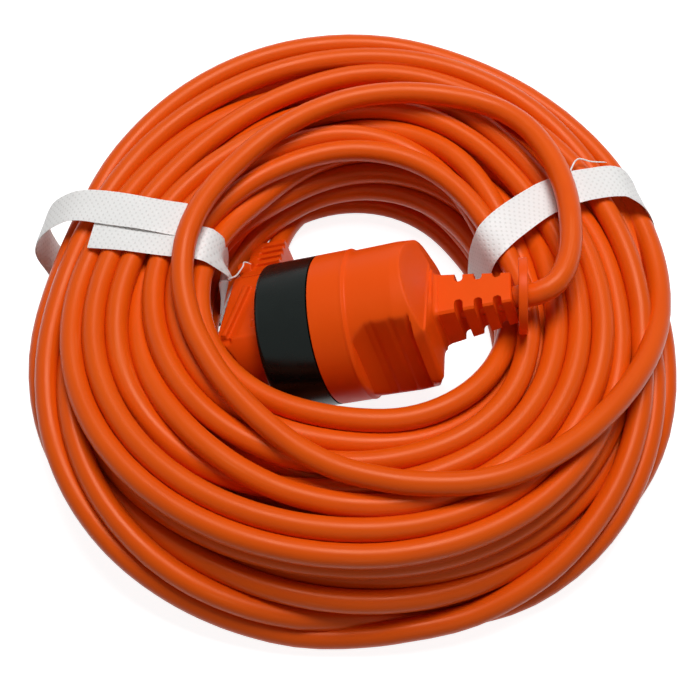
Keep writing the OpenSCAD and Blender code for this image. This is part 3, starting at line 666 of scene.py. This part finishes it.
# %% Disc
DISC_AT, DISC_R, DISC_T, DISC_HOLE_R, DISC_LEAN = 92.5, 13.7, 3.2, 5.9, math.radians(-12.3)
RIM_EDGE, HOLE_EDGE = 0.4, 0.5
DISC_SIDES = 96
bend = np.linspace(0, np.pi / 2, 5)
profile = [(-DISC_T / 2 + RIM_EDGE * (1 - math.sin(t)), DISC_R - RIM_EDGE * (1 - math.cos(t))) for t in bend]
profile += [(-DISC_T / 2 + HOLE_EDGE * (1 - math.cos(t)), DISC_HOLE_R + HOLE_EDGE * (1 - math.sin(t))) for t in bend]
profile += [(-x, r) for x, r in profile[::-1]]
disc = np.stack([round_section(x, r, DISC_SIDES) for x, r in profile])
lean_x = disc[..., 0] * math.cos(DISC_LEAN) - disc[..., 2] * math.sin(DISC_LEAN)
lean_z = disc[..., 0] * math.sin(DISC_LEAN) + disc[..., 2] * math.cos(DISC_LEAN)
disc = placed(np.stack([DISC_AT + lean_x, disc[..., 1], lean_z], -1))
loose_disc = new_piece("loose_disc", disc, grid_faces(len(profile), DISC_SIDES, round_rows=True), "disc",
                       60)
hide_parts("cord_disc")
print("disc:", len(profile), "rows of", DISC_SIDES)

# %% [markdown]
# ## The strapping bands
# Each band is a flat strap of polypropylene laid once round the bundle, with its ends lapped on top.
# The strap is a thin box swept along a line. It bulges away from the coil at the rim and in the
# hole, because it is stiff, and one corner was torn off in a thread when the strap was cut.

# %% Ribbons
STRAP_W = 15
STRAP_T = 0.5
STRAP_COLUMNS = 13
RIPPLE, RIPPLE_LENGTH = 0.25, 4.6


def ribbon_piece(name, centres, across, pull=None):
    """A thin box along a line: across is the strap's width direction at both ends, pull draws a corner out."""
    line = even_steps(smooth_line(centres), 1.6)
    ahead = ahead_of(line)
    k = np.linspace(0, 1, len(line))[:, None]
    side = (1 - k) * np.asarray(across[0], float) + k * np.asarray(across[1], float)
    side -= (side * ahead).sum(1, keepdims=True) * ahead
    side /= np.linalg.norm(side, axis=1, keepdims=True)
    normal = np.cross(ahead, side)
    u = STRAP_W * np.r_[np.linspace(-0.5, 0.5, STRAP_COLUMNS), np.linspace(0.5, -0.5, STRAP_COLUMNS)]
    v = STRAP_T * np.repeat([0.5, -0.5], STRAP_COLUMNS)
    v[[0, STRAP_COLUMNS - 1, STRAP_COLUMNS, -1]] *= 0.3
    ripple = RIPPLE * np.sin(so_far(line)[:, None] / RIPPLE_LENGTH + 0.25 * u) * np.abs(2 * u / STRAP_W) ** 2
    points = line[:, None] + u[:, None] * side[:, None] + (v + ripple)[..., None] * normal[:, None]
    if pull is not None:
        corner, move, spread = pull
        near = np.exp(-(np.linalg.norm(points - corner, axis=-1) / spread) ** 2)
        points += near[..., None] * np.asarray(move, float)
    straight = np.stack(np.broadcast_arrays(u, v, so_far(line)[:, None]), -1)
    faces = closed_grid(len(line), 2 * STRAP_COLUMNS)
    return new_piece(name, points, faces, "coil", sharp=50, straight=straight)


def thread_piece(name, points):
    """A thin torn thread of strap along given points."""
    line = even_steps(smooth_line(points), 0.5)
    radius = np.interp(np.linspace(0, 1, len(line)), [0, 0.1, 0.9, 1], [0.5, 0.35, 0.25, 0.1])
    return tube_piece(name, line, radius, 6, "coil", "strapping")


LEFT_BAND = [[-97, 23.3, 47.6], [-88.5, 22, 48.2], [-80, 20.8, 48.4], [-68, 19, 48.7], [-60, 17.7, 49],
             [-54, 16.8, 48.6], [-51.4, 16.3, 46.9], [-49, 15.8, 43.2], [-48.4, 15.4, 36.5], [-48.7, 15.1, 28],
             [-49.6, 15.2, 17], [-50.5, 16.2, 6], [-53.5, 17.5, 0.9], [-80, 25, 0.5], [-112, 33, 0.6],
             [-118, 34.5, 4], [-120.5, 34.5, 15], [-121.5, 34, 28], [-118, 34.3, 38], [-111, 35, 44.7],
             [-102, 35, 48.3], [-85, 31.6, 49.6], [-68, 28.2, 49.6], [-62, 27, 49.4]]
RIGHT_BAND = [[80, 41.5, 48.6], [92, 44.5, 48.9], [103, 46.5, 48.2], [109, 45.3, 45.2], [114, 43.5, 39],
              [117.8, 42, 29], [118.5, 41.5, 16], [116.5, 42, 4.5], [109, 40.5, 0.8], [80, 33, 0.5],
              [58, 21.5, 0.6], [51.5, 17.5, 4], [50, 17, 15], [49.8, 16.8, 28], [49.8, 16.6, 37],
              [50.4, 17, 43.4], [52.6, 19, 47.3], [57.4, 24, 48.8], [66, 31.2, 49.3], [75, 37.5, 49.6],
              [83, 41, 49.5]]
LEFT_ACROSS = ([-0.15, -0.99, 0], [-0.2, -0.98, 0])
RIGHT_ACROSS = ([0.25, -0.97, 0], [0.52, -0.86, 0])
TORN_CORNER, TORN_MOVE, TORN_SPREAD = [-50, 8.5, 43], [5.4, 0.3, -6.4], 4.5
LEFT_THREAD = [[-45.8, 8.4, 37.6], [-43.4, 11.4, 35], [-42.2, 15, 33], [-41.3, 18.6, 31], [-41.1, 21, 30],
               [-40, 21.4, 29.3], [-38.4, 20.9, 29]]
RIGHT_THREAD = [[84.5, 49.5, 49.6], [88, 55.2, 50.5], [93.5, 54.5, 50], [99.5, 54.6, 49.4]]
left_ribbon = ribbon_piece("left_ribbon", LEFT_BAND, LEFT_ACROSS, (TORN_CORNER, TORN_MOVE, TORN_SPREAD))
right_ribbon = ribbon_piece("right_ribbon", RIGHT_BAND, RIGHT_ACROSS)
left_thread = thread_piece("left_thread", LEFT_THREAD)
right_thread = thread_piece("right_thread", RIGHT_THREAD)
for ribbon, node in ((left_ribbon, "left_strap"), (right_ribbon, "right_strap")):
    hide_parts(node)
print("bands:", len(left_ribbon.data.polygons), "and", len(right_ribbon.data.polygons), "faces")

# %% [markdown]
# ## Colours and node trees
# Colours are picked as the hex values that a paint program shows. Shaders want linear light, so one
# function turns the one into the other, and one adds a node with its settings and links.

# %% Helpers for materials
def linear(hex_colour):
    """sRGB hex to linear: c / 12.92 below 0.04045, else ((c + 0.055) / 1.055) to the power 2.4."""
    c = np.array([int(hex_colour[i:i + 2], 16) for i in (1, 3, 5)]) / 255
    c = np.where(c <= 0.04045, c / 12.92, ((c + 0.055) / 1.055) ** 2.4)
    return (*c.tolist(), 1.0)


def add(tree, kind, settings=None, **inputs):
    """Adds a node: settings are its attributes, inputs its values, or the sockets or nodes to link from.

    An input goes by its name, or by i and its number where several share a name. A node stands for the
    first output that is in use.
    """
    node = tree.nodes.new(kind)
    for key, value in (settings or {}).items():
        setattr(node, key, value)
    for key, value in inputs.items():
        socket = node.inputs[int(key[1:]) if key[0] == "i" and key[1:].isdigit() else key.replace("_", " ")]
        if isinstance(value, bpy.types.Node):
            value = next(output for output in value.outputs if output.enabled)
        if isinstance(value, bpy.types.NodeSocket):
            tree.links.new(value, socket)
        else:
            socket.default_value = value
    return node


def new_material(name):
    """An empty material and its tree."""
    material = bpy.data.materials.new(name)
    material.use_nodes = True
    material.node_tree.nodes.clear()
    return material, material.node_tree


def finished(material, shader):
    """The material with its last shader linked to the output."""
    add(material.node_tree, "ShaderNodeOutputMaterial", Surface=shader)
    return material


def paint(material, *objects):
    """Gives objects a material in place of what they have."""
    for thing in objects:
        thing.data.materials.clear()
        thing.data.materials.append(material)


PLUS, TIMES, LARGER, SINE = ({"operation": name} for name in ("ADD", "MULTIPLY", "MAXIMUM", "SINE"))
COLOUR = {"data_type": "RGBA"}
print("#808080 is", round(linear("#808080")[0], 3), "in linear light")

# %% [markdown]
# The sheath is plasticised PVC, extruded over the cores. Extrusion leaves it smooth along its
# length, with a soft sheen: a broad highlight that runs with the cord. Handling dulls it in places,
# a slow change in roughness over a few centimetres, and dragging leaves rougher scuff streaks that run
# along it. The same streaks are also painted a lighter, pinkish orange, a painted highlight along the
# cord. The die draws very fine lines along the sheath too, which break up the highlight.

# %% PVC sheath
def pvc_sheath():
    """Extruded soft PVC: orange, roughness 0.28 to 0.42, die lines 0.6 mm apart, scuff streaks 3 mm wide that are
    rougher and painted lighter as a highlight.
    """
    material, tree = new_material("pvc_sheath")
    place = add(tree, "ShaderNodeAttribute", {"attribute_name": "straight"}).outputs["Vector"]
    stretched = add(tree, "ShaderNodeVectorMath", TIMES, i0=place, i1=(1.0, 1.0, 0.06))
    slow = add(tree, "ShaderNodeTexNoise", Vector=place, Scale=45.0, Detail=2.0)
    lines = add(tree, "ShaderNodeTexNoise", Vector=stretched, Scale=1600.0, Detail=2.0)
    scuff_and_highlight_noise = add(tree, "ShaderNodeTexNoise", Vector=stretched, Scale=330.0, Detail=4.0)
    scuff_and_highlight = add(tree, "ShaderNodeMapRange", Value=scuff_and_highlight_noise, From_Min=0.62, From_Max=0.78, To_Max=0.3)
    dull = add(tree, "ShaderNodeMapRange", Value=slow, From_Min=0.3, From_Max=0.7, To_Min=0.28, To_Max=0.42)
    duller = add(tree, "ShaderNodeMath", TIMES, i0=scuff_and_highlight, i1=0.35)
    rough = add(tree, "ShaderNodeMath", PLUS, i0=dull, i1=duller)
    base = add(tree, "ShaderNodeMix", COLOUR, i0=slow, i6=linear("#DE4F06"), i7=linear("#E6590A"))
    # painted highlight: the scuff streaks mix up to 30 % of a pale pinkish orange, #F58A52, into the base colour
    tint = add(tree, "ShaderNodeMix", COLOUR, i0=scuff_and_highlight, i6=base, i7=linear("#F58A52"))
    bump = add(tree, "ShaderNodeBump", Strength=0.12, Distance=0.1 * MM, Height=lines)
    shader = add(tree, "ShaderNodeBsdfPrincipled", Base_Color=tint, Roughness=rough, IOR=1.5, Normal=bump,
                 Specular_IOR_Level=0.28, Specular_Tint=(1.0, 0.6, 0.4, 1.0))
    return finished(material, shader)


sheath = pvc_sheath()
paint(sheath, cord_loop, cord_wound)
print(sheath.name, "has", len(sheath.node_tree.nodes), "nodes")

# %% [markdown]
# The mouldings are soft PVC too, and the collar is harder ABS. A mould leaves a fine grain and slow
# patches where the plastic cooled at another rate, and hands leave duller wipes. The highlight on
# orange plastic is a little orange, so its tint follows the colour.

# %% Mouldings
def moulding(name, first, second, grain, low, high, wipe=0.0, gloss=0.4):
    """Moulded plastic: a tint between two colours, grain in mm, roughness low to high, wipe more in places."""
    material, tree = new_material(name)
    place = add(tree, "ShaderNodeTexCoord").outputs["Object"]
    drawn = add(tree, "ShaderNodeVectorMath", TIMES, i0=place, i1=(0.5, 5.0, 2.0))
    slow = add(tree, "ShaderNodeTexNoise", Vector=place, Scale=90.0, Detail=3.0)
    fine = add(tree, "ShaderNodeTexNoise", Vector=place, Scale=1.0 / (grain * MM), Detail=3.0)
    wipes = add(tree, "ShaderNodeTexNoise", Vector=drawn, Scale=140.0, Detail=5.0, Distortion=1.2)
    dull = add(tree, "ShaderNodeMapRange", Value=slow, From_Min=0.3, From_Max=0.7, To_Min=low, To_Max=high)
    wiped = add(tree, "ShaderNodeMapRange", Value=wipes, From_Min=0.6, From_Max=0.8, To_Max=wipe)
    rough = add(tree, "ShaderNodeMath", PLUS, i0=dull, i1=wiped)
    tint = add(tree, "ShaderNodeMix", COLOUR, i0=slow, i6=linear(first), i7=linear(second))
    bump = add(tree, "ShaderNodeBump", Strength=0.2, Distance=0.06 * MM, Height=fine)
    tone = linear(second)[:3]
    sheen = (*(0.35 + 0.65 * c / max(tone) for c in tone), 1.0)
    shader = add(tree, "ShaderNodeBsdfPrincipled", Base_Color=tint, Roughness=rough, IOR=1.49, Normal=bump,
                 Specular_IOR_Level=gloss, Specular_Tint=sheen)
    return finished(material, shader)


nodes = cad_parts
paint(moulding("tail_pvc", "#EA5814", "#EE6018", 2.0, 0.36, 0.48),
      nodes["coupler_cord_tail"], nodes["plug_cord_tail"])
paint(moulding("orange_pvc_moulding", "#E84C06", "#EC530A", 0.9, 0.36, 0.48, 0.1, 0.28),
      coupler_shell, relief, loose_disc)
# painted shade: the plug is the coupler's PVC made darker and redder, #D94404 for #E84C06, for the shade that its
# faces lie in
paint(moulding("plug_pvc_painted_shade", "#D94404", "#DE4A06", 0.9, 0.38, 0.5, 0.1, 0.28), plug_shell)
paint(moulding("black_abs_collar", "#050606", "#090C0B", 1.4, 0.22, 0.32, 0.12, 0.2), nodes["coupler_collar"])
paint(moulding("dark_insulator", "#1B1B1D", "#262629", 1.2, 0.42, 0.55),
      nodes["contact_carrier"], nodes["plug_bridge"])
CORE_LOOKS = {"brown": ("brown_core_pvc", "#5A3317", "#66391B", 1.5),
              "blue": ("blue_core_pvc", "#1F5FC4", "#2A6BD0", 1.5),
              "earth": ("green_yellow_core_pvc", "#3E9A2E", "#E8D42A", 2.5)}
for core, look in CORE_LOOKS.items():
    paint(moulding(*look, 0.34, 0.46), nodes[f"coupler_{core}_core"], nodes[f"plug_{core}_core"])
print("materials so far:", len(bpy.data.materials))

# %% [markdown]
# The bands are polypropylene strap. It is milky, so some light passes through it, and rollers press
# small dimples into it in staggered rows, which stop it from slipping. The plastic is drawn out when
# it is made, and fine fibres run along it.

# %% Strapping
DIMPLE_LENGTH, DIMPLE_WIDTH = 2.4 * MM, 3.0 * MM


def strapping():
    """Milky polypropylene strap: staggered dimples 2.4 mm apart along it, in rows 1.5 mm apart, and fibres."""
    material, tree = new_material("milky_strapping")
    place = add(tree, "ShaderNodeAttribute", {"attribute_name": "straight"}).outputs["Vector"]
    parts = add(tree, "ShaderNodeSeparateXYZ", Vector=place).outputs
    along = add(tree, "ShaderNodeMath", TIMES, i0=parts["Z"], i1=2 * math.pi / DIMPLE_LENGTH)
    across = add(tree, "ShaderNodeMath", TIMES, i0=parts["X"], i1=2 * math.pi / DIMPLE_WIDTH)
    pressed = add(tree, "ShaderNodeMath", TIMES, i0=add(tree, "ShaderNodeMath", SINE, i0=along),
                  i1=add(tree, "ShaderNodeMath", SINE, i0=across))
    dimple = add(tree, "ShaderNodeMapRange", {"interpolation_type": "SMOOTHSTEP"}, Value=pressed,
                 From_Min=0.35, From_Max=0.9)
    drawn = add(tree, "ShaderNodeVectorMath", TIMES, i0=place, i1=(1.0, 1.0, 0.05))
    fibre = add(tree, "ShaderNodeTexNoise", Vector=drawn, Scale=900.0, Detail=3.0)
    height = add(tree, "ShaderNodeMath", PLUS, i0=add(tree, "ShaderNodeMath", TIMES, i0=dimple, i1=-1.0),
                 i1=add(tree, "ShaderNodeMath", TIMES, i0=fibre, i1=0.25))
    bump = add(tree, "ShaderNodeBump", Strength=0.45, Distance=0.3 * MM, Height=height)
    milk = add(tree, "ShaderNodeMix", COLOUR, i0=fibre, i6=linear("#F4F4F2"), i7=linear("#FAFAF9"))
    # painted shade: the dimples' hollows are tinted a darker grey, #E9E8E6, as well as bumped
    tint = add(tree, "ShaderNodeMix", COLOUR, i0=dimple, i6=milk, i7=linear("#E9E8E6"))
    plastic = add(tree, "ShaderNodeBsdfPrincipled", Base_Color=tint, Roughness=0.38, IOR=1.5, Normal=bump)
    through = add(tree, "ShaderNodeBsdfTranslucent", Color=linear("#F6F2EE"))
    return finished(material, add(tree, "ShaderNodeMixShader", i0=0.14, i1=plastic, i2=through))


paint(strapping(), left_ribbon, right_ribbon, left_thread, right_thread)
print("dimples along the left band:", round(so_far(smooth_line(LEFT_BAND))[-1] * MM / DIMPLE_LENGTH))

# %% [markdown]
# Inside, the contacts are rolled brass and the pins and the earth brackets are nickel plated. Both
# were drawn or rolled before they were cut, which leaves fine lines along them.

# %% Metals
def metal(name, first, second, roughness):
    """Drawn or plated metal: lines 0.3 mm apart along X and slow stains 3 mm wide."""
    material, tree = new_material(name)
    place = add(tree, "ShaderNodeTexCoord").outputs["Object"]
    stretched = add(tree, "ShaderNodeVectorMath", TIMES, i0=place, i1=(0.06, 1.0, 1.0))
    drawn = add(tree, "ShaderNodeTexNoise", Vector=stretched, Scale=3000.0, Detail=2.0)
    stain = add(tree, "ShaderNodeTexNoise", Vector=place, Scale=300.0, Detail=3.0)
    rough = add(tree, "ShaderNodeMapRange", Value=drawn, To_Min=roughness - 0.08, To_Max=roughness + 0.12)
    bump = add(tree, "ShaderNodeBump", Strength=0.15, Distance=0.05 * MM, Height=drawn)
    tint = add(tree, "ShaderNodeMix", COLOUR, i0=stain, i6=linear(first), i7=linear(second))
    shader = add(tree, "ShaderNodeBsdfPrincipled", Base_Color=tint, Metallic=1.0, Roughness=rough, Normal=bump)
    return finished(material, shader)


paint(metal("rolled_brass", "#C9A24A", "#B08A3C", 0.3), nodes["line_contact"], nodes["neutral_contact"])
paint(metal("nickel_plate", "#CFCBC4", "#B9B4AA", 0.24), nodes["coupler_earth_bracket"],
      nodes["plug_earth_bracket"], nodes["line_pin"], nodes["neutral_pin"])
print("materials:", len(bpy.data.materials))

# %% [markdown]
# ## The stage
# A pale floor and soft light from above and behind. The floor looks white to the camera and in
# reflections because a little light of its own is added for those rays only, so the object isn't lit
# by it, and its shadow still shows.

# %% Floor and world
FLOOR_HALF, FLOOR_DROP = 3000, 0.05
FLOOR_GLOW = 0.88
SKY_LIGHT = 0.08


def seen_directly(tree):
    """1 for camera, glossy and transmission rays, else 0."""
    ray = add(tree, "ShaderNodeLightPath").outputs
    either = add(tree, "ShaderNodeMath", LARGER, i0=ray["Is Camera Ray"], i1=ray["Is Glossy Ray"])
    return add(tree, "ShaderNodeMath", LARGER, i0=either, i1=ray["Is Transmission Ray"])


corners = FLOOR_HALF * np.array([[-1, -1, 0], [1, -1, 0], [1, 1, 0], [-1, 1, 0]]) - [0, 0, FLOOR_DROP]
floor_mesh = bpy.data.meshes.new("floor")
floor_mesh.from_pydata((corners * MM).tolist(), [], [[0, 1, 2, 3]])
floor = bpy.data.objects.new("floor", floor_mesh)
bpy.context.collection.objects.link(floor)
floor_white, tree = new_material("floor_white")
matt = add(tree, "ShaderNodeBsdfDiffuse", Color=linear("#C8C8C8"))
glow_strength = add(tree, "ShaderNodeMath", TIMES, i0=seen_directly(tree), i1=FLOOR_GLOW)
glow = add(tree, "ShaderNodeEmission", Strength=glow_strength)
paint(finished(floor_white, add(tree, "ShaderNodeAddShader", i0=matt, i1=glow)), floor)

world = bpy.data.worlds.new("studio")
bpy.context.scene.world = world
world.use_nodes = True
tree = world.node_tree
tree.nodes.clear()
sky = add(tree, "ShaderNodeMapRange", Value=seen_directly(tree), To_Min=SKY_LIGHT, To_Max=1.0)
background = add(tree, "ShaderNodeBackground", Color=(1.0, 1.0, 1.0, 1.0), Strength=sky)
add(tree, "ShaderNodeOutputWorld", Surface=background)
print("floor:", 2 * FLOOR_HALF, "mm square")

# %% Lamps
def soft_lamp(name, place, size, watts):
    """A square area lamp in millimetres, turned towards the middle of the coil."""
    lamp = bpy.data.lights.new(name, "AREA")
    lamp.size = size * MM
    lamp.energy = watts
    holder = bpy.data.objects.new(name, lamp)
    bpy.context.collection.objects.link(holder)
    holder.location = Vector(place) * MM
    holder.rotation_euler = (-holder.location).to_track_quat("-Z", "Y").to_euler()


soft_lamp("top_light", (80, 200, 900), 430, 7.1)
soft_lamp("front_fill", (250, -800, 600), 600, 0.5)
soft_lamp("left_light", (-800, 100, 500), 500, 0.3)
bpy.context.scene.view_settings.view_transform = "Standard"
print("lamps:", len(bpy.data.lights))
